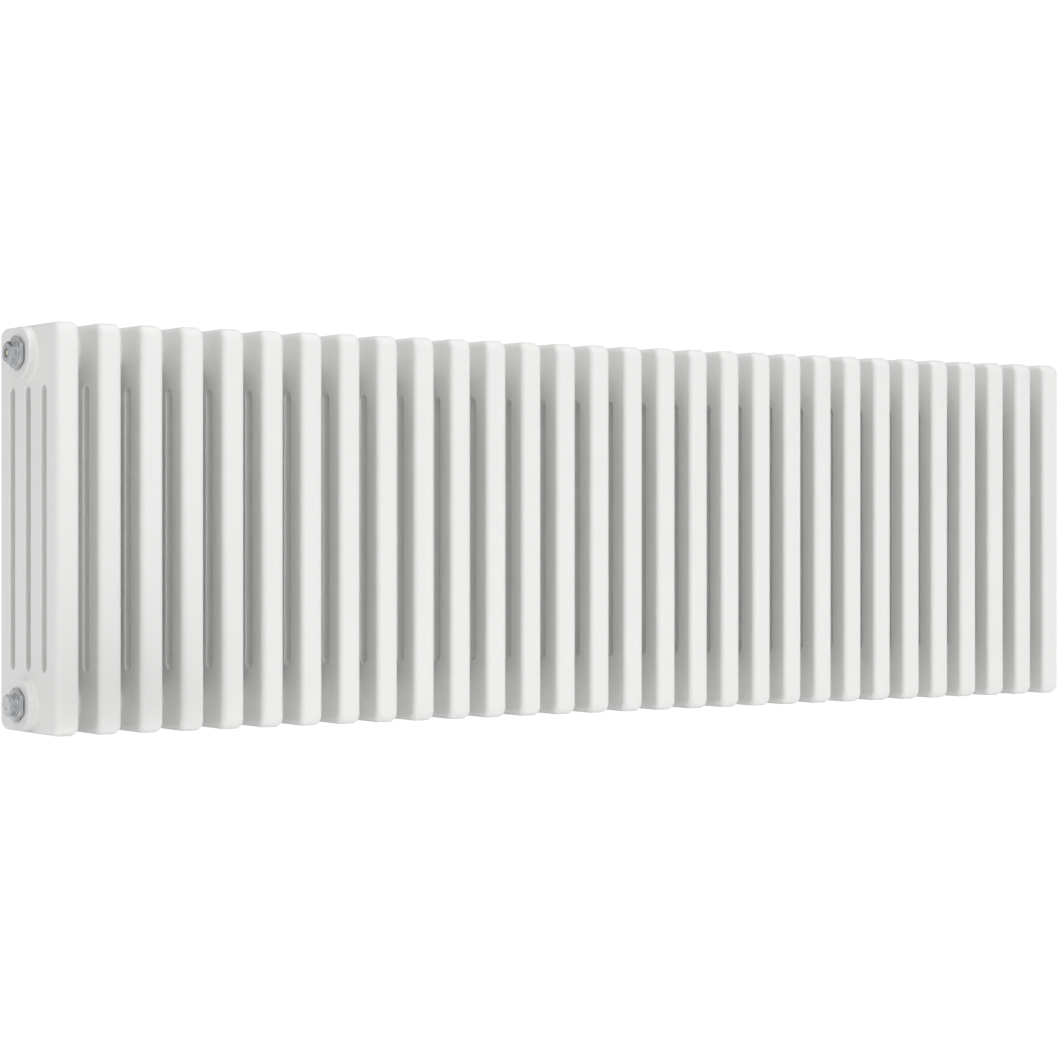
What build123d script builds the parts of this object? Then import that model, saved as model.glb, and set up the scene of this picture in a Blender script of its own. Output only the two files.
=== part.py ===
"""A four-column sectional radiator of thirty cast sections, with its end fittings.

The sections stand side by side along X and are drawn together by threaded nipples, with a gasket
between each pair of hubs. X runs along the length, the front faces -Y and Z is up. The origin is on
the surface that the sections stand on, at the middle of the row and of its depth.

Threads are drawn as plain cylinders at the minor diameter of the female thread. The fittings are
drawn lying along X, with their outer end at X = 0 and their thread pointing to +X.
"""
from build123d import *
import math
import os

# The row of sections
SECTIONS = 30
PITCH = 45.0
SECTION_THICKNESS = 25.0
DEPTH = 136.0
HEIGHT = 400.0
CORNER = 11.0
EDGE_ROUND = 6.0
WALL = 3.0

# The three slots that part a section into four columns
COLUMNS = 4
COLUMN_DEPTH = 24.5
SLOT_WIDTH = (DEPTH - COLUMNS * COLUMN_DEPTH) / (COLUMNS - 1)
COLUMN_PITCH = COLUMN_DEPTH + SLOT_WIDTH
SLOT_END = 60.5

# Hubs, and the nipples (G 3/4 thread) and gaskets between them
HUB_HEIGHT = 28.0
HUB_RADIUS = 26.0
HUB_THREAD = 24.117 / 2
GASKET = 1.0
GASKET_RADIUS = 20.0
HUB_FACE = (PITCH - GASKET) / 2
NIPPLE_BORE = 9.4
NIPPLE_LENGTH = 25.0

# Reducing bushes (G 3/4 outside, G 1/2 inside) and their seals
BUSH_FLATS = 30.0
BUSH_HEAD = 4.5
BUSH_SHANK = 12.0
PORT_THREAD = 18.631 / 2
PORT_BEVEL = 0.8
BUSH_SEAL = 1.0
BUSH_SEAL_RADIUS = 14.6
PLUG_SEAL_SEAT = 11.2
PLUG_SEAL = 1.0
BEVEL_SLOPE = 0.55

# The vent plug and the blanking plug in the left-hand bushes
PLUG_FLATS = 19.0
PLUG_HEX = 6.2
PLUG_FLANGE = 1.2
PLUG_FLANGE_RADIUS = 13.0
PLUG_SHANK = 9.0
PLUG_HOLLOW = 6.0
KEY_RECESS = 3.0
KEY_RECESS_RADIUS = 4.7

# The bleed screw (M6 x 1), which a square key turns, and its sealing ring
SCREW_THREAD = 2.95
SCREW_BORE = 3.05
SCREW_SQUARE = 5.0
SCREW_FACE = 0.4
SCREW_GROOVE = 4.6
SCREW_GROOVE_WIDTH = 1.0
SCREW_NECK = 1.9
SCREW_TAPER = 10.0
SCREW_END = 11.4
SCREW_TIP = 1.1
SEAT = 10.4
SEAT_END = 12.0
WATER_HOLE = 1.0
EASE = 0.06

ROW_END = (SECTIONS - 1) / 2 * PITCH
LOW_HUB = HUB_HEIGHT
HIGH_HUB = HEIGHT - HUB_HEIGHT
section_places = [i * PITCH - ROW_END for i in range(SECTIONS)]
joint_places = [x + PITCH / 2 for x in section_places[:-1]]

# Distances from the outer end of a plug, measured into the radiator
PLUG_HEAD = PLUG_HEX + PLUG_FLANGE
BUSH_BACK = PLUG_HEAD + BUSH_HEAD
HUB_START = BUSH_BACK + BUSH_SEAL
PLUG_FACE = ROW_END + HUB_FACE + HUB_START

os.makedirs("parts", exist_ok=True)


def slotted_plate(inset, edge_round):
    """A section's plate with its slots: the outside at inset 0, the water space inside at inset WALL."""
    thickness = SECTION_THICKNESS - 2 * inset
    with BuildPart() as plate:
        with BuildSketch(Plane.YZ.offset(-thickness / 2)):
            with Locations((0, HEIGHT / 2)):
                RectangleRounded(DEPTH - 2 * inset, HEIGHT - 2 * inset, CORNER - inset)
        extrude(amount=thickness)
        if edge_round:
            fillet(plate.faces().filter_by(Axis.X).edges(), edge_round)
        with BuildSketch(Plane.YZ.offset(-thickness / 2)):
            with Locations((0, HEIGHT / 2)):
                with GridLocations(COLUMN_PITCH, 0, COLUMNS - 1, 1):
                    SlotOverall(HEIGHT - 2 * SLOT_END + 2 * inset, SLOT_WIDTH + 2 * inset, rotation=90)
        extrude(amount=thickness, mode=Mode.SUBTRACT)
    return plate


def washer(outer, inner, start, thickness):
    """A flat ring about X, from start towards +X."""
    with BuildPart() as ring:
        with BuildSketch(Plane.YZ.offset(start)):
            Circle(outer)
            Circle(inner, mode=Mode.SUBTRACT)
        extrude(amount=thickness)
    return ring


def turned(*outline):
    """A solid of revolution about X, from its (distance along X, radius) points."""
    with BuildPart() as piece:
        with BuildSketch(Plane.XY):
            with BuildLine():
                Polyline(*outline, close=True)
            make_face()
        revolve(axis=Axis.X)
    return piece


def hexagon_head(flats, start, end):
    """A hexagonal head about X with points up and down, its outer end at start turned to a bevel."""
    corner = flats / math.sqrt(3)
    bevel_end = start + (corner - flats / 2) * BEVEL_SLOPE
    blank = turned((start, 0), (start, flats / 2), (bevel_end, corner), (end, corner), (end, 0))
    with BuildPart() as head:
        with BuildSketch(Plane.YZ.offset(start)):
            RegularPolygon(corner, 6, rotation=90)
        extrude(amount=end - start)
        add(blank.part, mode=Mode.INTERSECT)
    return head


def place(shape, name, *places, rotation=(0, 0, 0)):
    """Puts copies of one shape at their places, labels them as one piece and writes it."""
    with BuildPart() as piece:
        with Locations(*places):
            add(shape.part, rotation=rotation)
    piece.part.label = name
    export_step(piece.part, f"parts/{name}.step")


# One section, about its own middle plane: the casting, less the water space and the threaded hubs
casting = slotted_plate(0, EDGE_ROUND)
water_space = slotted_plate(WALL, 0)

with BuildPart() as section:
    add(casting.part)
    with BuildSketch(Plane.YZ.offset(-HUB_FACE)):
        with Locations((0, LOW_HUB), (0, HIGH_HUB)):
            Circle(HUB_RADIUS)
    extrude(amount=2 * HUB_FACE)
    add(water_space.part, mode=Mode.SUBTRACT)
    with BuildSketch(Plane.YZ.offset(-HUB_FACE)):
        with Locations((0, LOW_HUB), (0, HIGH_HUB)):
            Circle(HUB_THREAD)
    extrude(amount=2 * HUB_FACE, mode=Mode.SUBTRACT)

for number, x in enumerate(section_places, 1):
    place(section, f"section_{number:02d}", (x, 0, 0))

# A nipple joins two hubs
nipple = washer(HUB_THREAD, NIPPLE_BORE, -NIPPLE_LENGTH / 2, NIPPLE_LENGTH)
gasket = washer(GASKET_RADIUS, HUB_THREAD, -GASKET / 2, GASKET)

for level, height in (("bottom", LOW_HUB), ("top", HIGH_HUB)):
    joints = [(x, 0, height) for x in joint_places]
    place(nipple, f"{level}_nipples", *joints)
    place(gasket, f"{level}_gaskets", *joints)

# A reducing bush, sealed against the end hub, with a seat for a plug's or a valve's own seal
with BuildPart() as bush:
    add(hexagon_head(BUSH_FLATS, PLUG_HEAD, BUSH_BACK).part)
    with BuildSketch(Plane.YZ.offset(BUSH_BACK)):
        Circle(HUB_THREAD)
    extrude(amount=BUSH_SHANK)
    chamfer(bush.faces().sort_by(Axis.X)[-1].edges(), PORT_BEVEL)
    with BuildSketch(Plane.YZ.offset(PLUG_HEAD)):
        Circle(PORT_THREAD)
    extrude(amount=BUSH_HEAD + BUSH_SHANK, mode=Mode.SUBTRACT)
    with BuildSketch(Plane.YZ.offset(PLUG_HEAD)):
        Circle(PLUG_SEAL_SEAT)
    extrude(amount=PLUG_SEAL, mode=Mode.SUBTRACT)

bush_seal = washer(BUSH_SEAL_RADIUS, HUB_THREAD, BUSH_BACK, BUSH_SEAL)

for side, x, turn in (("left", -PLUG_FACE, 0), ("right", PLUG_FACE, 180)):
    for level, height in (("bottom", LOW_HUB), ("top", HIGH_HUB)):
        place(bush, f"bush_{level}_{side}", (x, 0, height), rotation=(0, 0, turn))
        place(bush_seal, f"bush_seal_{level}_{side}", (x, 0, height), rotation=(0, 0, turn))

# The blanking plug closes the lower left bush; its shank is cored out
with BuildPart() as plug:
    add(hexagon_head(PLUG_FLATS, 0, PLUG_HEX).part)
    with BuildSketch(Plane.YZ.offset(PLUG_HEX)):
        Circle(PLUG_FLANGE_RADIUS)
    extrude(amount=PLUG_FLANGE)
    with BuildSketch(Plane.YZ.offset(PLUG_HEAD)):
        Circle(PORT_THREAD)
    extrude(amount=PLUG_SHANK)
    plug_ends = plug.edges().filter_by(GeomType.CIRCLE).group_by(Axis.X)
    chamfer(plug_ends[-1], PORT_BEVEL)

with BuildPart() as blanking_plug:
    add(plug.part)
    with BuildSketch(Plane.YZ.offset(PLUG_HEAD)):
        Circle(PLUG_HOLLOW)
    extrude(amount=PLUG_SHANK, mode=Mode.SUBTRACT)

plug_seal = washer(PLUG_SEAL_SEAT, PORT_THREAD, PLUG_HEAD, PLUG_SEAL)

place(blanking_plug, "blanking_plug", (-PLUG_FACE, 0, LOW_HUB))
place(plug_seal, "blanking_plug_seal", (-PLUG_FACE, 0, LOW_HUB))

# The vent plug closes the upper left bush. Its bore holds the bleed screw over a conical seat
vent_bore = turned(
    (0, 0),
    (0, KEY_RECESS_RADIUS),
    (KEY_RECESS, KEY_RECESS_RADIUS),
    (KEY_RECESS, SCREW_BORE),
    (SEAT, SCREW_BORE),
    (SEAT_END, WATER_HOLE),
    (PLUG_HEAD + PLUG_SHANK, WATER_HOLE),
    (PLUG_HEAD + PLUG_SHANK, 0),
)

with BuildPart() as vent_plug:
    add(plug.part)
    add(vent_bore.part, mode=Mode.SUBTRACT)

GROOVE_END = SCREW_GROOVE + SCREW_GROOVE_WIDTH
screw_shank = turned(
    (KEY_RECESS, 0),
    (KEY_RECESS, SCREW_THREAD),
    (SCREW_GROOVE, SCREW_THREAD),
    (SCREW_GROOVE, SCREW_NECK),
    (GROOVE_END, SCREW_NECK),
    (GROOVE_END, SCREW_THREAD),
    (SCREW_TAPER, SCREW_THREAD),
    (SCREW_END, SCREW_TIP),
    (SCREW_END, 0),
)

with BuildPart() as bleed_screw:
    add(screw_shank.part)
    with BuildSketch(Plane.YZ.offset(SCREW_FACE)):
        Rectangle(SCREW_SQUARE, SCREW_SQUARE)
    extrude(amount=KEY_RECESS - SCREW_FACE)

bleed_seal = washer(
    SCREW_THREAD - EASE, SCREW_NECK + EASE, SCREW_GROOVE + EASE, SCREW_GROOVE_WIDTH - 2 * EASE
)

place(vent_plug, "vent_plug", (-PLUG_FACE, 0, HIGH_HUB))
place(plug_seal, "vent_plug_seal", (-PLUG_FACE, 0, HIGH_HUB))
place(bleed_screw, "bleed_screw", (-PLUG_FACE, 0, HIGH_HUB))
place(bleed_seal, "bleed_screw_seal", (-PLUG_FACE, 0, HIGH_HUB))
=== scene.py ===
"""The looks of a white sectional column radiator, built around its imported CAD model.

Every length is in metres. X runs along the row of sections, the front faces -Y and Z is up.
The castings, the end fittings, the seals and the screw are new surfaces; the nipples and the
gaskets between the hubs keep their CAD shapes. Each finish is a procedural material.
"""

import math

import bpy
import numpy as np
from bpy.props import FloatProperty, FloatVectorProperty, PointerProperty
from mathutils import Matrix, Vector
from mathutils.geometry import tessellate_polygon


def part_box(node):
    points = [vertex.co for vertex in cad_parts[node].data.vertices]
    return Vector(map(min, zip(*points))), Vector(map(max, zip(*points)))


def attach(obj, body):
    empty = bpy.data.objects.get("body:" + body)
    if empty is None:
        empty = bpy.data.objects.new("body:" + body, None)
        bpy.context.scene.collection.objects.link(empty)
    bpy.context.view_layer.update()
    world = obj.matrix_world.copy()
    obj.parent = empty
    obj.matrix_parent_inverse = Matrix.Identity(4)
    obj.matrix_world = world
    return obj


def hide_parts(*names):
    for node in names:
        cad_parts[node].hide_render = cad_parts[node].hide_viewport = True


bl_info = {
    "name": "Column radiator",
    "version": (1, 0, 0),
    "blender": (4, 5, 0),
    "location": "View3D > Sidebar > Radiator",
    "description": "Castings, end fittings and finishes of a sectional column radiator",
    "category": "Object",
}

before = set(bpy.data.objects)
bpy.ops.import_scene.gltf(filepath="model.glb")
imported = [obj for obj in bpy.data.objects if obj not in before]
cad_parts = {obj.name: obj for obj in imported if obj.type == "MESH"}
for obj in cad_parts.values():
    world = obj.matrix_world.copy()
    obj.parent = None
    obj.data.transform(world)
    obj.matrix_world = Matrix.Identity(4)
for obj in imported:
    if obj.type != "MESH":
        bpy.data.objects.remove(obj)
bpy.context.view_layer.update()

BODY = "radiator"
SECTION_NODES = sorted(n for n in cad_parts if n.startswith("section_"))
FIRST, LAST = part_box(SECTION_NODES[0]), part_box(SECTION_NODES[-1])
HEIGHT = FIRST[1].z - FIRST[0].z
DEPTH = FIRST[1].y - FIRST[0].y
HUB_REACH = (FIRST[1].x - FIRST[0].x) / 2
LEVELS = ("bottom", "top")


def node_middle(node):
    """The middle of a CAD node's box."""
    low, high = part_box(node)
    return (low + high) / 2


HUB_HEIGHTS = {level: node_middle(f"bush_{level}_left").z for level in LEVELS}


# ---------------------------------------------------------------- fixed details

# Hubs: how deep the barrel's last rows lie in the plate, and the taper of the deepest
HUB_ROOT = (0.0002, 0.0005, 0.0025, 0.0035)
HUB_ROOT_TAPER = 0.006
# Hub's foot: the sine at which its fillet is gone, and the span over which it fades
FOOT_GONE, FOOT_FADE = 0.86, 0.14

# Hexagon bevels: length, start inside the flats and rise towards the corners
BUSH_BEVEL = (0.0016, 0.0004, 0.0029)
PLUG_BEVEL = (0.0010, 0.0006, 0.0022)
BEVEL_STEPS = 8
# Chamfer at the end of a shank, and the play between a shank and what it screws into
CHAMFER = 0.0008
PLAY = 0.0002
# Port thread: rows of points along it, and the length over which it fades in and out
PORT_ROWS = 150
PORT_RUN_OUT = 0.0015

# Vent plug, from its face: the bore behind the screw, and the ends of the cone that the screw seats on
VENT_BORE = 0.001
SEAT_START, SEAT_END = 0.0104, 0.0120
# Blanking plug: the hollow in its back
PLUG_HOLLOW = 0.006

# Bleed screw, from the vent plug's face: its head, ring groove, thread and cone
SCREW_FACE = 0.0004
SCREW_GROOVE_START, SCREW_GROOVE_WIDTH, SCREW_GROOVE = 0.0046, 0.001, 0.0019
SCREW_THREAD_END, SCREW_THREAD_DEPTH, SCREW_RUN_OUT, SCREW_ROWS = 0.0099, 0.0005, 0.0006, 60
CONE_START, CONE_END, CONE_TIP = 0.0100, 0.0114, 0.0011
# Head's corners against its half width, and its bevelled face against its full size
HEAD_CORNER, HEAD_FACE = 1.30, 0.82

# Bore of the screw's ring
SCREW_SEAL_BORE = 0.00196
# Powers of the seals' section: 1 is round, and less is flatter
ROUND_RING, FLAT_RING = 0.8, 0.35


# ---------------------------------------------------------------- sizes and colours

class RadiatorCasting(bpy.types.PropertyGroup):
    """Shape of one section."""
    thickness: FloatProperty(
        name="Thickness", description="Thickness of a section's plate",
        default=0.025, unit="LENGTH")
    corner: FloatProperty(
        name="Corner", description="Radius of a section's corners, seen from its side",
        default=0.011, unit="LENGTH")
    edge_round: FloatProperty(
        name="Edge rounding", description="Radius of the rounded outer edges",
        default=0.006, unit="LENGTH")
    slot_round: FloatProperty(
        name="Slot rounding", description="Radius of the rounded edges of the slots",
        default=0.002, unit="LENGTH")
    column_depth: FloatProperty(
        name="Column depth", description="Depth of one column from front to back",
        default=0.0245, unit="LENGTH")
    slot_end: FloatProperty(
        name="Slot end", description="Distance of a slot's end from the section's end",
        default=0.0605, unit="LENGTH")
    hub_radius: FloatProperty(
        name="Hub radius", description="Radius of a hub",
        default=0.026, unit="LENGTH")
    hub_foot: FloatProperty(
        name="Hub foot", description="Radius of the fillet at the foot of a hub",
        default=0.003, unit="LENGTH")
    hub_rim: FloatProperty(
        name="Hub rim", description="Radius of the rounded rim of a hub",
        default=0.0014, unit="LENGTH")
    hub_bore: FloatProperty(
        name="Hub bore", description="Radius of the threaded bore of a hub",
        default=0.0120585, unit="LENGTH")


class RadiatorFittings(bpy.types.PropertyGroup):
    """Shape of the bushes and plugs at the ends."""
    bush_head: FloatProperty(
        name="Bush head", description="Thickness of a bush's hexagonal head",
        default=0.0045, unit="LENGTH")
    port_radius: FloatProperty(
        name="Port radius", description="Radius inside the crests of a port's thread",
        default=0.0093155, unit="LENGTH")
    thread_depth: FloatProperty(
        name="Thread depth", description="Depth of the port's thread",
        default=0.00116, unit="LENGTH")
    hub_thread: FloatProperty(
        name="Hub thread", description="Radius of a bush's shank in its hub",
        default=0.012, unit="LENGTH")
    thread_pitch: FloatProperty(
        name="Thread pitch", description="Pitch of the port's thread",
        default=0.001814, unit="LENGTH")
    seat_radius: FloatProperty(
        name="Seat radius", description="Radius of the recess for a plug's or valve's seal",
        default=0.0112, unit="LENGTH")
    seat_depth: FloatProperty(
        name="Seat depth", description="Depth of that recess",
        default=0.001, unit="LENGTH")
    plug_hexagon: FloatProperty(
        name="Plug hexagon", description="Thickness of a plug's hexagon",
        default=0.0062, unit="LENGTH")
    plug_flats: FloatProperty(
        name="Plug flats", description="Size of a plug's hexagon across its flats",
        default=0.019, unit="LENGTH")
    key_recess: FloatProperty(
        name="Key recess", description="Depth of the vent plug's recess for the key",
        default=0.003, unit="LENGTH")
    key_radius: FloatProperty(
        name="Key recess radius", description="Radius of that recess",
        default=0.0047, unit="LENGTH")
    screw_square: FloatProperty(
        name="Screw square", description="Size of the bleed screw's square head",
        default=0.005, unit="LENGTH")
    screw_radius: FloatProperty(
        name="Screw radius", description="Radius of the bleed screw's thread",
        default=0.00295, unit="LENGTH")
    screw_pitch: FloatProperty(
        name="Screw pitch", description="Pitch of the bleed screw's thread",
        default=0.001, unit="LENGTH")


class RadiatorFinishes(bpy.types.PropertyGroup):
    """Colours and roughness of the finishes."""
    coating: FloatVectorProperty(
        name="Coating", description="Colour of the white coating",
        subtype="COLOR", min=0, max=1, default=(0.90, 0.90, 0.898))
    coating_roughness: FloatProperty(
        name="Coating roughness", description="Roughness of the white coating",
        default=0.30, min=0, max=1, subtype="FACTOR")
    peel_size: FloatProperty(
        name="Peel size", description="Width of one dimple of the coating's orange peel",
        default=0.0022, unit="LENGTH")
    chrome: FloatVectorProperty(
        name="Chrome", description="Colour of the chrome plate",
        subtype="COLOR", min=0, max=1, default=(0.56, 0.57, 0.585))
    chrome_roughness: FloatProperty(
        name="Chrome roughness", description="Roughness of the chrome plate",
        default=0.07, min=0, max=1, subtype="FACTOR")
    rubber: FloatVectorProperty(
        name="Rubber", description="Colour of the seals",
        subtype="COLOR", min=0, max=1, default=(0.025, 0.025, 0.027))
    fibre: FloatVectorProperty(
        name="Fibre", description="Colour of the gaskets between hubs",
        subtype="COLOR", min=0, max=1, default=(0.50, 0.50, 0.48))
    iron: FloatVectorProperty(
        name="Iron", description="Colour of the nipples",
        subtype="COLOR", min=0, max=1, default=(0.20, 0.19, 0.18))
    brass: FloatVectorProperty(
        name="Screw metal", description="Colour of the bleed screw",
        subtype="COLOR", min=0, max=1, default=(0.62, 0.60, 0.55))


class RadiatorStudio(bpy.types.PropertyGroup):
    """Camera, floor and light."""
    lens: FloatProperty(
        name="Lens", description="Focal length of the camera",
        default=94.95, unit="CAMERA")
    turn: FloatProperty(
        name="Turn", description="How far the camera looks round from square to the front",
        default=math.radians(33.507), subtype="ANGLE")
    stand_back: FloatProperty(
        name="Stand back", description="Distance of the camera in front of the sections' faces",
        default=2.4649, unit="LENGTH")
    stand_beside: FloatProperty(
        name="Stand beside", description="Distance of the camera beyond the first section's middle",
        default=1.1374, unit="LENGTH")
    shift: FloatProperty(
        name="Shift", description="Sideways shift of the camera's picture",
        default=0.02994)
    floor: FloatVectorProperty(
        name="Floor", description="Colour of the floor",
        subtype="COLOR", min=0, max=1, default=(0.92, 0.92, 0.92))
    surround: FloatProperty(
        name="Surround", description="Brightness of the studio's brightest panel",
        default=1.05, min=0)


# Brightness of the studio by compass place: left is 0 and 1, front 0.25, right 0.5 and back 0.75
STUDIO_PANELS = (
    (0.0, 0.80), (0.04, 0.98), (0.085, 0.98), (0.10, 0.25), (0.12, 0.25), (0.14, 0.98), (0.40, 1.0),
    (0.50, 0.70), (0.62, 0.25), (0.75, 0.15), (0.79, 0.60), (0.88, 0.66), (0.94, 0.50), (1.0, 0.80),
)
# Strength at which the camera sees the surround
SEEN_WHITE = 1.05
# Softboxes: place, size and power
SOFTBOXES = {
    "front_softbox": ((-0.6, -3.2, 1.9), (3.0, 1.6), 9),
    "overhead_softbox": ((0, 0.3, 2.8), (3.2, 2.0), 16),
}
FLOOR_REACH = 30.0
FLOOR_GLOW = 0.15
# Corners of the dark card that gives the bright metal its dark reflections
DARK_CARD = (
    (-0.70, -0.32, 0.002), (-0.48, -0.32, 0.002), (-0.48, -0.10, 0.002), (-0.70, -0.10, 0.002))
CARD_COLOUR = (0.01, 0.01, 0.012, 1)

GROUPS = {
    "radiator_casting": RadiatorCasting,
    "radiator_fittings": RadiatorFittings,
    "radiator_finishes": RadiatorFinishes,
    "radiator_studio": RadiatorStudio,
}


# ---------------------------------------------------------------- shader expressions

class Value:
    """A number in a node tree. Arithmetic on it adds Math nodes."""

    def __init__(self, finish, socket):
        self.finish = finish
        self.socket = socket

    def _maths(self, operation, first, second):
        return self.finish.node("ShaderNodeMath", {"operation": operation}, {0: first, 1: second})

    def __add__(self, other):
        return self._maths("ADD", self, other)

    __radd__ = __add__

    def __mul__(self, other):
        return self._maths("MULTIPLY", self, other)

    __rmul__ = __mul__


class Finish:
    """A material under construction: its node tree, its shader and the object's own coordinates."""

    def __init__(self, name):
        self.material = bpy.data.materials.new(name)
        self.material.use_nodes = True
        self.tree = self.material.node_tree
        self.shader = self.tree.nodes["Principled BSDF"]
        self.place = self.node("ShaderNodeTexCoord", {}, {}, "Object")

    def node(self, kind, settings, values, output=0):
        """Adds a node, sets it, gives its inputs values or links, and returns one output."""
        made = self.tree.nodes.new(kind)
        for key, setting in settings.items():
            setattr(made, key, setting)
        for key, value in values.items():
            self._feed(made.inputs[key], value)
        return Value(self, made.outputs[output])

    def _feed(self, socket, value):
        if isinstance(value, Value):
            self.tree.links.new(value.socket, socket)
        else:
            socket.default_value = value

    def set(self, **inputs):
        """Feeds the shader's own sockets, named with underscores for spaces."""
        for key, value in inputs.items():
            self._feed(self.shader.inputs[key.replace("_", " ")], value)
        return self.material

    def noise(self, size, detail=2.0):
        """Cloudy noise whose patches are about size metres wide."""
        return self.node(
            "ShaderNodeTexNoise", {},
            {"Vector": self.place, "Scale": 1 / size, "Detail": detail})

    def clamp(self, value, low, high, to_low=0.0, to_high=1.0):
        """Maps a value from one range to another and holds it there."""
        return self.node(
            "ShaderNodeMapRange", {"clamp": True},
            {"Value": value, "From Min": low, "From Max": high, "To Min": to_low, "To Max": to_high})

    def blend(self, share, first, second):
        """Mixes two colours."""
        return self.node(
            "ShaderNodeMix", {"data_type": "RGBA"}, {"Factor": share, 6: first, 7: second}, 2)

    def bump(self, height, distance, strength=1.0, below=None):
        """Raises the surface by height times distance metres."""
        values = {"Height": height, "Distance": distance, "Strength": strength}
        if below:
            values["Normal"] = below
        return self.node("ShaderNodeBump", {}, values)

    def axis_radius(self, centre):
        """Distance from a line along X through the centre."""
        moved = self.node(
            "ShaderNodeMapping", {"vector_type": "POINT"},
            {"Vector": self.place, "Location": (0, -centre[1], -centre[2])})
        flat = self.node(
            "ShaderNodeVectorMath", {"operation": "MULTIPLY"}, {0: moved, 1: (0, 1, 1)})
        return self.node("ShaderNodeVectorMath", {"operation": "LENGTH"}, {0: flat}, "Value")


def grey_of(colour, factor=1.0):
    """A colour with its alpha, lightened or darkened by a factor."""
    return (*(min(1, c * factor) for c in colour), 1)


def white_coating(look):
    """Glossy white coating: faint orange peel, a slow waviness of the casting, and faint clouding."""
    finish = Finish("white_coating")
    cloud = finish.clamp(finish.noise(0.09, 3), 0.35, 0.65)
    colour = finish.blend(cloud, grey_of(look.coating, 0.985), grey_of(look.coating, 1.012))
    peel = finish.noise(look.peel_size, 1.5)
    wave = finish.noise(0.028, 1)
    speckle = finish.clamp(finish.noise(0.0009, 1), 0.60, 0.75)
    waved = finish.bump(wave, 0.00007)
    peeled = finish.bump(peel + 0.3 * speckle, 0.000035, 0.8, waved)
    patch = finish.clamp(finish.noise(0.05, 3), 0.3, 0.7, -0.03, 0.03)
    return finish.set(
        Base_Color=colour, Roughness=patch + look.coating_roughness, Normal=peeled,
        Coat_Weight=0.35, Coat_Roughness=0.12, IOR=1.48)


def chrome_plate(look, name, centre):
    """Bright chrome plate: fine turning marks about the fitting's own axis, and faint smears."""
    finish = Finish(name)
    radius = finish.axis_radius(centre)
    turning = finish.node("ShaderNodeMath", {"operation": "SINE"}, {0: radius * 16000})
    smear = finish.clamp(finish.noise(0.006, 4), 0.35, 0.7)
    pit = finish.clamp(finish.noise(0.0006, 1), 0.70, 0.80)
    colour = finish.blend(smear, grey_of(look.chrome), grey_of(look.chrome, 0.93))
    waved = finish.bump(finish.noise(0.009, 2), 0.00002)
    return finish.set(
        Base_Color=colour, Metallic=1.0,
        Roughness=smear * 0.06 + pit * 0.1 + look.chrome_roughness,
        Normal=finish.bump(turning, 0.0000004, 1.0, waved))


def seal_rubber(look):
    """Black moulded rubber with a dull bloom."""
    finish = Finish("seal_rubber")
    bloom = finish.clamp(finish.noise(0.004, 3), 0.4, 0.7)
    colour = finish.blend(bloom, grey_of(look.rubber), grey_of(look.rubber, 2.2))
    return finish.set(
        Base_Color=colour, Roughness=bloom * 0.15 + 0.55,
        Normal=finish.bump(finish.noise(0.0007, 2), 0.00003))


def gasket_fibre(look):
    """Pale pressed fibre with darker flecks."""
    finish = Finish("gasket_fibre")
    fleck = finish.clamp(finish.noise(0.0008, 2), 0.55, 0.68)
    colour = finish.blend(fleck, grey_of(look.fibre), grey_of(look.fibre, 0.55))
    return finish.set(
        Base_Color=colour, Roughness=fleck * 0.1 + 0.75,
        Normal=finish.bump(finish.noise(0.0011, 3), 0.00005))


def nipple_iron(look):
    """Machined iron with its thread's rings."""
    finish = Finish("nipple_iron")
    along = finish.node("ShaderNodeSeparateXYZ", {}, {"Vector": finish.place}, "X")
    rings = finish.node("ShaderNodeMath", {"operation": "SINE"}, {0: along * (2 * math.pi / 0.001814)})
    stain = finish.clamp(finish.noise(0.007, 3), 0.4, 0.7)
    colour = finish.blend(stain, grey_of(look.iron), grey_of(look.iron, 0.6))
    return finish.set(
        Base_Color=colour, Metallic=1.0, Roughness=stain * 0.2 + 0.35,
        Normal=finish.bump(rings, 0.0004))


def screw_brass(look, centre):
    """Turned brass, with marks round the screw's own axis."""
    finish = Finish("screw_brass")
    radius = finish.axis_radius(centre)
    turning = finish.node("ShaderNodeMath", {"operation": "SINE"}, {0: radius * 30000})
    tarnish = finish.clamp(finish.noise(0.0025, 3), 0.4, 0.7)
    colour = finish.blend(tarnish, grey_of(look.brass), grey_of(look.brass, 0.72))
    return finish.set(
        Base_Color=colour, Metallic=1.0, Roughness=tarnish * 0.15 + 0.2,
        Normal=finish.bump(turning, 0.000001))


# ---------------------------------------------------------------- surfaces

def mesh_object(name, points, faces):
    """A mesh object from an array of points and a list of faces."""
    mesh = bpy.data.meshes.new(name)
    mesh.from_pydata(points.tolist(), [], faces)
    mesh.validate()
    made = bpy.data.objects.new(name, mesh)
    bpy.context.scene.collection.objects.link(made)
    return made


def band_faces(rows, turns, start=0, closed=False):
    """Quads between rows of points round an axis or outline; closed joins the last row to the first."""
    i = np.arange(rows if closed else rows - 1)[:, None]
    j = np.arange(turns)[None, :]
    k = (j + 1) % turns
    n = (i + 1) % rows
    quads = np.stack([i * turns + j, i * turns + k, n * turns + k, n * turns + j], -1)
    return (quads.reshape(-1, 4) + start).tolist()


def lathe_points(x, radius):
    """Points of a surface round X.

    Row i is at x[i], and radius[i] has its distance from the axis at each angle.
    """
    turns = radius.shape[1]
    angle = np.arange(turns) * 2 * math.pi / turns
    x = np.broadcast_to(np.reshape(x, (len(x), -1)), radius.shape)
    return np.stack([x, radius * np.cos(angle), radius * np.sin(angle)], -1).reshape(-1, 3)


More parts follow.
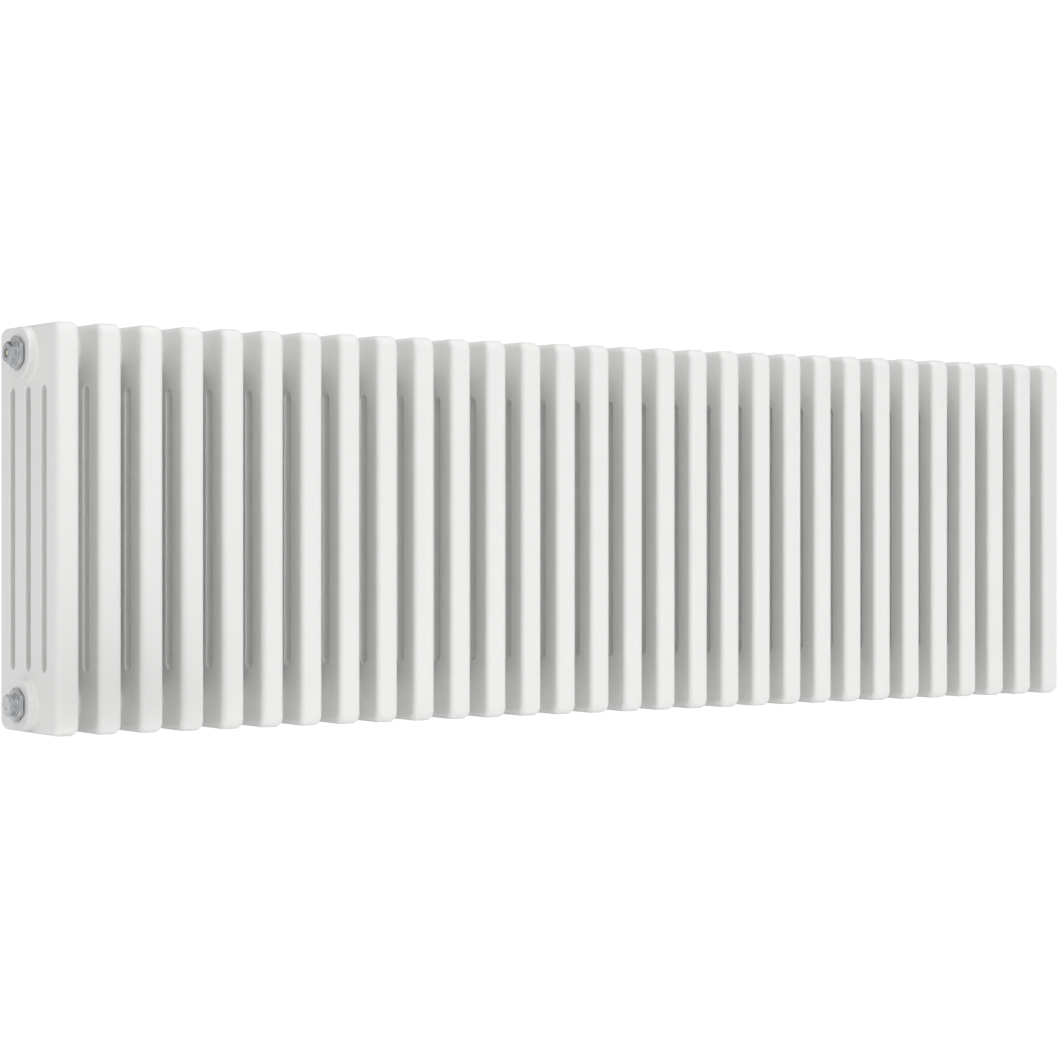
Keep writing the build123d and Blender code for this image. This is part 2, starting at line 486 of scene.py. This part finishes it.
def lathe_ring(name, x, radius):
    """A closed surface round X with a bore: the last row joins the first."""
    return mesh_object(name, lathe_points(x, radius), band_faces(*radius.shape, closed=True))


def lathe_solid(name, x, radius):
    """A closed surface round X whose first and last rows are capped by a point on the axis."""
    rows, turns = radius.shape
    points = lathe_points(x, radius)
    x = np.broadcast_to(np.reshape(x, (len(x), -1)), radius.shape)
    ends = np.array([[x[0, 0], 0, 0], [x[-1, 0], 0, 0]])
    j = np.arange(turns)
    k = (j + 1) % turns
    first, last = rows * turns, rows * turns + 1
    caps = np.stack([np.full(turns, first), k, j], -1).tolist()
    caps += np.stack([np.full(turns, last), (rows - 1) * turns + j, (rows - 1) * turns + k], -1).tolist()
    return mesh_object(name, np.vstack([points, ends]), band_faces(rows, turns) + caps)


def hexagon(flats, turns):
    """Distance from the axis to a hexagon's side at each angle, with corners up and down."""
    angle = np.arange(turns) * 2 * math.pi / turns
    sector = math.pi / 3
    off_flat = (angle + sector / 2) % sector - sector / 2
    return flats / 2 / np.cos(off_flat)


def helix(x, turns, pitch):
    """A triangular wave from 0 to 1 that climbs one pitch of a screw thread for each turn."""
    angle = np.arange(turns) / turns
    phase = (x[:, None] / pitch - angle[None, :]) % 1
    return 1 - np.abs(2 * phase - 1)


def quarter(steps):
    """Angles from 0 to a right angle."""
    return np.linspace(0, math.pi / 2, steps + 1)


def make_outward(made):
    """Turns a closed mesh's faces outwards: its signed volume about the origin must be positive."""
    mesh = made.data
    corners = np.zeros(len(mesh.vertices) * 3)
    mesh.vertices.foreach_get("co", corners)
    corners = corners.reshape(-1, 3)
    mesh.calc_loop_triangles()
    triangles = np.zeros(len(mesh.loop_triangles) * 3, int)
    mesh.loop_triangles.foreach_get("vertices", triangles)
    a, b, c = (corners[triangles.reshape(-1, 3)[:, i]] for i in range(3))
    if np.einsum("ij,ij->i", a, np.cross(b, c)).sum() < 0:
        mesh.flip_normals()
    return made


def shade(made, sharp=math.radians(32)):
    """Smooth shading that breaks at edges sharper than the angle, with flats kept flat."""
    made.data.shade_smooth()
    made.data.set_sharp_from_angle(angle=sharp)
    weighted = made.modifiers.new("flats", "WEIGHTED_NORMAL")
    weighted.keep_sharp = True
    return made


def finish_piece(made, material, body=BODY, nodes=()):
    """Gives a piece its material and its body, and hides the CAD nodes that it stands for."""
    made.data.materials.clear()
    made.data.materials.append(material)
    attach(made, body)
    if nodes:
        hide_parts(*nodes)
    return made


def dress_node(node, material):
    """Gives a CAD node a material and leaves its shape alone."""
    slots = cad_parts[node].data.materials
    if slots:
        slots[0] = material
    else:
        slots.append(material)


# ---------------------------------------------------------------- the castings

def rounded_outline(width, height, corner, steps=8):
    """Corner-rounded rectangle about (0, 0), as centres of its corner arcs and directions from them.

    A point of the outline, or of one offset from it, is centre + direction times a radius.
    """
    sweep = quarter(steps)
    centres, directions = [], []
    for turn, (sy, sz) in enumerate(((1, 1), (-1, 1), (-1, -1), (1, -1))):
        angle = sweep + turn * math.pi / 2
        directions.append(np.stack([np.cos(angle), np.sin(angle)], -1))
        centre = (sy * (width / 2 - corner), sz * (height / 2 - corner))
        centres.append(np.tile(centre, (len(sweep), 1)))
    return np.vstack(centres), np.vstack(directions)


def edge_profile(thickness, radius, steps=8):
    """Half-round edge of a plate: how far each row lies in from the outline, and its place across it."""
    sweep = quarter(steps)
    inset = radius * (1 - np.sin(sweep))
    across = thickness / 2 - radius * (1 - np.cos(sweep))
    return np.concatenate([inset, inset[::-1]]), np.concatenate([across, -across[::-1]])


def rim_band(outline, corner, profile, outward):
    """Carries an edge profile round an outline: rows of points (across, y, z)."""
    centres, directions = outline
    inset, across = profile
    radius = corner - outward * inset[:, None, None]
    flat = centres[None] + directions[None] * radius
    x = np.broadcast_to(across[:, None, None], (*flat.shape[:2], 1))
    return np.concatenate([x, flat], -1)


def slotted_plate(shape):
    """A section's plate: a rounded rim, one round each slot, and two flat faces between them."""
    outline = rounded_outline(DEPTH, HEIGHT, shape.corner)
    bands = [rim_band(outline, shape.corner, edge_profile(shape.thickness, shape.edge_round), 1)]
    column_pitch = (DEPTH - shape.column_depth) / 3
    half_slot = (column_pitch - shape.column_depth) / 2
    for place in (-1, 0, 1):
        centres, directions = rounded_outline(2 * half_slot, HEIGHT - 2 * shape.slot_end, half_slot, 10)
        centres = centres + (place * column_pitch, 0)
        profile = edge_profile(shape.thickness, shape.slot_round)
        bands.append(rim_band((centres, directions), half_slot, profile, -1))
    points, faces, starts = [], [], []
    count = 0
    for number, band in enumerate(bands):
        rows, turns = band.shape[:2]
        quads = band_faces(rows, turns, count)
        faces += [quad[::-1] for quad in quads] if number == 0 else quads
        starts.append((count, count + (rows - 1) * turns, turns))
        points.append(band.reshape(-1, 3))
        count += rows * turns
    points = np.vstack(points) + (0, 0, HEIGHT / 2)
    for side in (0, 1):
        loops = [np.arange(start[side], start[side] + start[2]) for start in starts]
        order = np.concatenate(loops)
        flat = [[Vector((points[i][1], points[i][2], 0)) for i in loop] for loop in loops]
        for triangle in tessellate_polygon(flat):
            a, b, c = (points[order[i]][1:] for i in triangle)
            turn = np.cross(b - a, c - a)
            wanted = 1 if side == 0 else -1
            corners = [int(order[i]) for i in triangle]
            faces.append(corners if turn * wanted > 0 else corners[::-1])
    return mesh_object("plate", points, faces)


def hub_barrel(shape, height, turns=96):
    """A hub through the plate: a turned barrel with a rounded rim and a fillet at its foot.

    The fillet fades out towards the section's own end, where the plate's edge curves away under it.
    """
    half = shape.thickness / 2
    rim = quarter(5)
    foot = quarter(7)
    x = np.concatenate([
        HUB_REACH - shape.hub_rim * (1 - np.cos(rim)),
        half + shape.hub_foot * (1 - np.sin(foot)),
        [half - depth for depth in HUB_ROOT],
    ])
    plain = shape.hub_radius
    base = np.concatenate([
        plain - shape.hub_rim * (1 - np.sin(rim)),
        np.full(len(foot), plain),
        [plain, plain, plain, plain - HUB_ROOT_TAPER],
    ])
    flare = np.concatenate([
        np.zeros(len(rim)),
        shape.hub_foot * (1 - np.cos(foot)),
        [shape.hub_foot, 0, 0, 0],
    ])
    angle = np.arange(turns) * 2 * math.pi / turns
    towards_end = math.copysign(1, height - HEIGHT / 2)
    rise = np.sin(angle) * towards_end
    fade = np.clip((FOOT_GONE - rise) / FOOT_FADE, 0, 1)
    fade = fade * fade * (3 - 2 * fade)
    radius = base[:, None] + flare[:, None] * fade[None, :]
    x = np.concatenate([x, -x[::-1]])
    radius = np.vstack([radius, radius[::-1]])
    made = make_outward(lathe_solid("hub", x, radius))
    made.data.transform(Matrix.Translation((0, 0, height)))
    return made


def combine(base, others, operation):
    """Joins or cuts a closed mesh with others, and removes them."""
    for other in others:
        step = base.modifiers.new("step", "BOOLEAN")
        step.operation = operation
        step.solver = "EXACT"
        step.object = other
        bpy.context.view_layer.update()
        worked = base.evaluated_get(bpy.context.evaluated_depsgraph_get())
        mesh = bpy.data.meshes.new_from_object(worked)
        base.modifiers.clear()
        base.data = mesh
        bpy.data.objects.remove(other)
    return base


def section_casting(shape):
    """One section about its own middle: the slotted plate with its two hubs and their bores."""
    plate = make_outward(slotted_plate(shape))
    hubs = [hub_barrel(shape, height) for height in HUB_HEIGHTS.values()]
    casting = combine(plate, hubs, "UNION")
    bores = []
    for height in HUB_HEIGHTS.values():
        ends = np.array([-HUB_REACH - 0.002, HUB_REACH + 0.002])
        bore = make_outward(lathe_solid("bore", ends, np.full((2, 64), shape.hub_bore)))
        bore.data.transform(Matrix.Translation((0, 0, height)))
        bores.append(bore)
    return combine(casting, bores, "DIFFERENCE")


# ---------------------------------------------------------------- the end fittings

def fitting_place(level, side):
    """A fitting's matrix, from a frame at the bush's face whose +X points into the radiator."""
    low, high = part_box(f"bush_{level}_{side}")
    if side == "left":
        return Matrix.Translation((low.x, 0, HUB_HEIGHTS[level]))
    return Matrix.Translation((high.x, 0, HUB_HEIGHTS[level])) @ Matrix.Rotation(math.pi, 4, "Z")


def bush(shape, flats, length, turns=144):
    """A reducing bush, as a closed surface round X.

    Its rows run from the seal's recess over the bevelled hexagon and the shank, and back through the
    threaded port. On the hexagon the distance from the axis is the smaller of the hexagon's side and
    the bevel's cone; in the port it follows a helical thread.
    """
    hexagonal = hexagon(flats, turns)
    head = shape.bush_head
    seat = shape.seat_depth
    root = shape.port_radius + shape.thread_depth
    rows = []

    def row(x, radius):
        rows.append((x, np.broadcast_to(np.asarray(radius, float), (turns,))))

    bevel_length, start, rise = BUSH_BEVEL
    row(seat, root + 0.0001)
    row(seat, shape.seat_radius)
    row(0.0002, shape.seat_radius)
    row(0.0, shape.seat_radius + 0.0002)
    for share in np.linspace(0, 1, BEVEL_STEPS):
        row(share * bevel_length, np.minimum(hexagonal, flats / 2 - start + share * rise))
    row(head - 0.0006, hexagonal)
    row(head - 0.0002, hexagonal - 0.0001)
    row(head, hexagonal - 0.0004)
    row(head, shape.hub_thread)
    row(length - CHAMFER, shape.hub_thread)
    row(length, shape.hub_thread - CHAMFER)
    row(length, root + 0.0001)
    span = np.linspace(length - 0.0002, seat + 0.0002, PORT_ROWS)
    fade = np.clip(np.minimum(span - span[-1], span[0] - span) / PORT_RUN_OUT, 0, 1)
    wave = helix(span, turns, shape.thread_pitch)
    thread = shape.port_radius + shape.thread_depth * (1 - wave * fade[:, None])
    for x, radius in zip(span, thread):
        row(x, radius)
    x = np.array([place for place, _ in rows])
    return make_outward(lathe_ring("bush", x, np.stack([radius for _, radius in rows])))


def plug_rows(shape, flange_radius, flange, turns):
    """The outside of a plug from the rim of its bevelled hexagon to the back of its flange."""
    hexagonal = hexagon(shape.plug_flats, turns)
    flat = shape.plug_flats / 2
    end = shape.plug_hexagon
    bevel_length, start, rise = PLUG_BEVEL
    rows = [(share * bevel_length, np.minimum(hexagonal, flat - start + share * rise))
            for share in np.linspace(0, 1, BEVEL_STEPS)]
    rows += [(end - 0.0003, hexagonal), (end, hexagonal + 0.0002)]
    rows += [(end, np.full(turns, flange_radius - 0.0004)),
             (end + 0.0004, np.full(turns, flange_radius)),
             (end + flange, np.full(turns, flange_radius))]
    return rows


def plug(shape, flange_radius, flange, shank, vented, turns=144):
    """A plug screwed into a bush. The vented one has a recess and a bore for its bleed screw."""
    rows = plug_rows(shape, flange_radius, flange, turns)
    back = shape.plug_hexagon + flange

    def row(x, radius):
        rows.append((x, np.full(turns, radius)))

    row(back, shape.port_radius - PLAY)
    row(back + shank - CHAMFER, shape.port_radius - PLAY)
    row(back + shank, shape.port_radius - 0.001)
    if vented:
        row(back + shank, VENT_BORE)
        row(SEAT_END, VENT_BORE)
        row(SEAT_START, shape.screw_radius + 0.0001)
        row(shape.key_recess, shape.screw_radius + 0.0001)
        row(shape.key_recess, shape.key_radius)
        row(0.0003, shape.key_radius)
        row(0.0, shape.key_radius + 0.0003)
    else:
        row(back + shank, PLUG_HOLLOW)
        row(back + 0.0005, PLUG_HOLLOW)
        row(back, PLUG_HOLLOW - 0.0005)
    x = np.array([place for place, _ in rows])
    radius = np.stack([distance for _, distance in rows])
    if vented:
        return make_outward(lathe_ring("vent_plug", x, radius))
    dish = [(0.00035, 0.0012), (0.0003, 0.0042), (0.0, 0.0052)]
    x = np.concatenate([[place for place, _ in dish], x])
    radius = np.vstack([np.stack([np.full(turns, r) for _, r in dish]), radius])
    return make_outward(lathe_solid("blanking_plug", x, radius))


def superellipse_ring(name, half_width, inner, outer, power, turns=96, rows=20):
    """A closed ring round X whose section is a superellipse between the inner and outer radius."""
    angle = np.arange(rows) * 2 * math.pi / rows
    cosine, sine = np.cos(angle), np.sin(angle)
    x = half_width * np.sign(sine) * np.abs(sine) ** power
    reach = (outer - inner) / 2 * np.sign(cosine) * np.abs(cosine) ** power
    radius = np.repeat(((outer + inner) / 2 + reach)[:, None], turns, 1)
    return make_outward(lathe_ring(name, x, radius))


def bleed_screw(shape, turns=96):
    """The bleed screw: a square head with bevelled corners, a groove for its ring, a thread and a cone.

    On the head the distance from the axis is the smaller of the square's side and the bevel's circle.
    """
    angle = np.arange(turns) * 2 * math.pi / turns
    quarter_turn = math.pi / 2
    off_flat = (angle + quarter_turn / 2) % quarter_turn - quarter_turn / 2
    square = shape.screw_square / 2 / np.cos(off_flat)
    head = np.minimum(square, shape.screw_square / 2 * HEAD_CORNER)
    rows = [(SCREW_FACE, head * HEAD_FACE), (SCREW_FACE + 0.0004, head), (shape.key_recess, head)]

    def row(x, radius):
        rows.append((x, np.full(turns, radius)))

    groove_end = SCREW_GROOVE_START + SCREW_GROOVE_WIDTH
    row(shape.key_recess, shape.screw_radius)
    row(SCREW_GROOVE_START, shape.screw_radius)
    row(SCREW_GROOVE_START, SCREW_GROOVE)
    row(groove_end, SCREW_GROOVE)
    row(groove_end, shape.screw_radius)
    span = np.linspace(SCREW_GROOVE_START + 0.0012, SCREW_THREAD_END, SCREW_ROWS)
    fade = np.clip(np.minimum(span - span[0], span[-1] - span) / SCREW_RUN_OUT, 0, 1)
    wave = helix(span, turns, shape.screw_pitch)
    thread = shape.screw_radius - SCREW_THREAD_DEPTH * wave * fade[:, None]
    rows += list(zip(span, thread))
    row(CONE_START, shape.screw_radius - 0.0001)
    row(CONE_END, CONE_TIP)
    x = np.array([place for place, _ in rows])
    return make_outward(lathe_solid("bleed_screw", x, np.stack([radius for _, radius in rows])))


# ---------------------------------------------------------------- operators

def look():
    """The finishes' settings."""
    return bpy.context.scene.radiator_finishes


def material(name, make, *arguments):
    """A material by name, made once."""
    return bpy.data.materials.get(name) or make(look(), *arguments)


def chrome_of(level):
    """Chrome plate whose turning marks run round one level's hubs."""
    name = f"chrome_plate_{level}"
    return material(name, chrome_plate, name, (0, 0, HUB_HEIGHTS[level]))


class RADIATOR_OT_castings(bpy.types.Operator):
    """Model the sections' castings and give them their white coating"""
    bl_idname = "radiator.castings"
    bl_label = "Castings"

    def execute(self, context):
        pattern = section_casting(context.scene.radiator_casting)
        coating = material("white_coating", white_coating)
        for node in SECTION_NODES:
            casting = bpy.data.objects.new(f"{node}_casting", pattern.data.copy())
            context.scene.collection.objects.link(casting)
            casting.data.transform(Matrix.Translation((node_middle(node).x, 0, 0)))
            shade(casting)
            finish_piece(casting, coating, nodes=[node])
        bpy.data.objects.remove(pattern)
        return {"FINISHED"}


class RADIATOR_OT_joints(bpy.types.Operator):
    """Finish the nipples and gaskets between the sections' hubs"""
    bl_idname = "radiator.joints"
    bl_label = "Nipples and gaskets"

    def execute(self, context):
        for level in LEVELS:
            dress_node(f"{level}_nipples", material("nipple_iron", nipple_iron))
            dress_node(f"{level}_gaskets", material("gasket_fibre", gasket_fibre))
        return {"FINISHED"}


class RADIATOR_OT_bushes(bpy.types.Operator):
    """Model the chrome reducing bushes at the four corners"""
    bl_idname = "radiator.bushes"
    bl_label = "Reducing bushes"

    def execute(self, context):
        shape = context.scene.radiator_fittings
        for side in ("left", "right"):
            for level in LEVELS:
                node = f"bush_{level}_{side}"
                low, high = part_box(node)
                made = bush(shape, high.y - low.y, high.x - low.x)
                made.name = f"{node}_turned"
                made.data.transform(fitting_place(level, side))
                finish_piece(shade(made), chrome_of(level), nodes=[node])
        return {"FINISHED"}


class RADIATOR_OT_plugs(bpy.types.Operator):
    """Model the vent plug and the blanking plug"""
    bl_idname = "radiator.plugs"
    bl_label = "Vent plug and blanking plug"

    def execute(self, context):
        shape = context.scene.radiator_fittings
        for node, level, vented in (("vent_plug", "top", True), ("blanking_plug", "bottom", False)):
            low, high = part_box(node)
            bush_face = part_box(f"bush_{level}_left")[0].x
            flange = bush_face - low.x - shape.plug_hexagon
            made = plug(shape, (high.y - low.y) / 2, flange, high.x - bush_face, vented)
            made.name = f"{node}_turned"
            made.data.transform(Matrix.Translation((low.x, 0, HUB_HEIGHTS[level])))
            finish_piece(shade(made), chrome_of(level), nodes=[node])
        return {"FINISHED"}


class RADIATOR_OT_seals(bpy.types.Operator):
    """Model the moulded seals of the bushes, the plugs and the bleed screw"""
    bl_idname = "radiator.seals"
    bl_label = "Seals"

    def execute(self, context):
        casting = context.scene.radiator_casting
        fittings = context.scene.radiator_fittings
        inner = {
            f"bush_seal_{level}_{side}": casting.hub_bore
            for level in LEVELS for side in ("left", "right")}
        inner["vent_plug_seal"] = inner["blanking_plug_seal"] = fittings.port_radius
        inner["bleed_screw_seal"] = SCREW_SEAL_BORE
        for node, bore in inner.items():
            low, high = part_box(node)
            middle = (low + high) / 2
            power = ROUND_RING if node == "bleed_screw_seal" else FLAT_RING
            half_width, outer = (high.x - low.x) / 2, (high.z - low.z) / 2
            made = superellipse_ring(f"{node}_ring", half_width, bore, outer, power)
            made.data.transform(Matrix.Translation(middle))
            body = "bleed_seal_ring" if node == "bleed_screw_seal" else BODY
            finish_piece(shade(made), material("seal_rubber", seal_rubber), body, [node])
        return {"FINISHED"}


class RADIATOR_OT_bleed_screw(bpy.types.Operator):
    """Model the bleed screw inside the vent plug"""
    bl_idname = "radiator.bleed_screw"
    bl_label = "Bleed screw"

    def execute(self, context):
        made = bleed_screw(context.scene.radiator_fittings)
        made.name = "bleed_screw_turned"
        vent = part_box("vent_plug")[0].x
        made.data.transform(Matrix.Translation((vent, 0, HUB_HEIGHTS["top"])))
        metal = material("screw_brass", screw_brass, (0, 0, HUB_HEIGHTS["top"]))
        finish_piece(shade(made), metal, "bleed_screw", ["bleed_screw"])
        return {"FINISHED"}


def area_light(name, place, target, size, energy):
    """A soft rectangular light that faces a point."""
    data = bpy.data.lights.new(name, "AREA")
    data.shape = "RECTANGLE"
    data.size, data.size_y = size
    data.energy = energy
    light = bpy.data.objects.new(name, data)
    light.location = place
    light.rotation_euler = (Vector(target) - Vector(place)).to_track_quat("-Z", "Y").to_euler()
    bpy.context.scene.collection.objects.link(light)
    return light


def studio_surround(studio):
    """A plain world, seen as white, that lights the radiator unevenly round the compass.

    Its brightness follows the angle round the vertical axis, as soft panels with a darker gap between
    the front and left ones, and a dim back wall.
    """
    world = bpy.data.worlds.new("studio")
    world.use_nodes = True
    bpy.context.scene.world = world
    nodes, links = world.node_tree.nodes, world.node_tree.links
    background = nodes["Background"]
    background.inputs["Color"].default_value = (1, 1, 1, 1)
    direction = nodes.new("ShaderNodeTexCoord")
    compass = nodes.new("ShaderNodeTexGradient")
    compass.gradient_type = "RADIAL"
    links.new(direction.outputs["Generated"], compass.inputs["Vector"])
    panels = nodes.new("ShaderNodeValToRGB")
    ramp = panels.color_ramp
    for position, _ in STUDIO_PANELS[2:]:
        ramp.elements.new(position)
    for element, (position, bright) in zip(ramp.elements, STUDIO_PANELS):
        element.position = position
        element.color = (bright, bright, bright, 1)
    links.new(compass.outputs["Fac"], panels.inputs["Fac"])
    scaled = nodes.new("ShaderNodeMath")
    scaled.operation = "MULTIPLY"
    scaled.inputs[1].default_value = studio.surround
    links.new(panels.outputs["Color"], scaled.inputs[0])
    ray = nodes.new("ShaderNodeLightPath")
    strength = nodes.new("ShaderNodeMapRange")
    strength.inputs["To Max"].default_value = SEEN_WHITE
    links.new(ray.outputs["Is Camera Ray"], strength.inputs["Value"])
    links.new(scaled.outputs["Value"], strength.inputs["To Min"])
    links.new(strength.outputs["Result"], background.inputs["Strength"])


class RADIATOR_OT_stage(bpy.types.Operator):
    """Lay the floor, light the studio and set up the camera"""
    bl_idname = "radiator.stage"
    bl_label = "Floor, light and camera"

    def dark_card(self):
        """A dark card on the floor before the row, seen only in bright metal."""
        card = Finish("dark_card")
        card.set(Base_Color=CARD_COLOUR, Roughness=0.9)
        corners = np.array(DARK_CARD)
        sheet = mesh_object("dark_card", corners, [(0, 1, 2, 3)])
        sheet.data.materials.append(card.material)
        for ray in ("camera", "diffuse", "shadow", "transmission", "volume_scatter"):
            setattr(sheet, f"visible_{ray}", False)

    def execute(self, context):
        scene = context.scene
        studio = scene.radiator_studio
        scene.view_settings.view_transform = "Standard"
        scene.view_settings.look = "None"
        studio_surround(studio)

        floor = Finish("pale_floor")
        mottle = floor.clamp(floor.noise(0.4, 3), 0.3, 0.7)
        shade_of_floor = floor.blend(mottle, grey_of(studio.floor), grey_of(studio.floor, 0.99))
        floor.set(
            Base_Color=shade_of_floor, Roughness=0.7,
            Emission_Color=(1, 1, 1, 1), Emission_Strength=FLOOR_GLOW)
        corners = FLOOR_REACH * np.array([(-1, -1, 0), (1, -1, 0), (1, 1, 0), (-1, 1, 0)])
        ground = mesh_object("floor", corners, [(0, 1, 2, 3)])
        ground.data.materials.append(floor.material)
        ground.visible_camera = False
        self.dark_card()

        middle = (0, 0, HEIGHT / 2)
        for name, (place, size, energy) in SOFTBOXES.items():
            area_light(name, place, middle, size, energy)

        near_x = node_middle(SECTION_NODES[0]).x
        camera_data = bpy.data.cameras.new("camera")
        camera_data.lens = studio.lens
        camera_data.sensor_width = 36
        camera_data.shift_x = studio.shift
        camera = bpy.data.objects.new("camera", camera_data)
        camera.location = (near_x - studio.stand_beside, FIRST[0].y - studio.stand_back, HEIGHT / 2)
        camera.rotation_euler = (math.pi / 2, 0, -studio.turn)
        scene.collection.objects.link(camera)
        scene.camera = camera
        return {"FINISHED"}


OPERATORS = (
    RADIATOR_OT_castings,
    RADIATOR_OT_joints,
    RADIATOR_OT_bushes,
    RADIATOR_OT_plugs,
    RADIATOR_OT_seals,
    RADIATOR_OT_bleed_screw,
    RADIATOR_OT_stage,
)


class RADIATOR_PT_panel(bpy.types.Panel):
    """Sidebar panel that lists the radiator's steps"""
    bl_idname = "RADIATOR_PT_panel"
    bl_label = "Column radiator"
    bl_space_type = "VIEW_3D"
    bl_region_type = "UI"
    bl_category = "Radiator"

    def draw(self, context):
        for operator in OPERATORS:
            self.layout.operator(operator.bl_idname)


def register():
    """Registers the classes and hangs the settings on the scene."""
    for group in GROUPS.values():
        bpy.utils.register_class(group)
    for name, group in GROUPS.items():
        setattr(bpy.types.Scene, name, PointerProperty(type=group))
    for item in (*OPERATORS, RADIATOR_PT_panel):
        bpy.utils.register_class(item)


def unregister():
    """Removes what register added."""
    for item in (RADIATOR_PT_panel, *reversed(OPERATORS)):
        bpy.utils.unregister_class(item)
    for name, group in GROUPS.items():
        delattr(bpy.types.Scene, name)
        bpy.utils.unregister_class(group)


def main():
    """Builds every piece and the stage."""
    register()
    for operator in OPERATORS:
        group, name = operator.bl_idname.split(".")
        getattr(getattr(bpy.ops, group), name)()


if __name__ == "__main__":
    main()
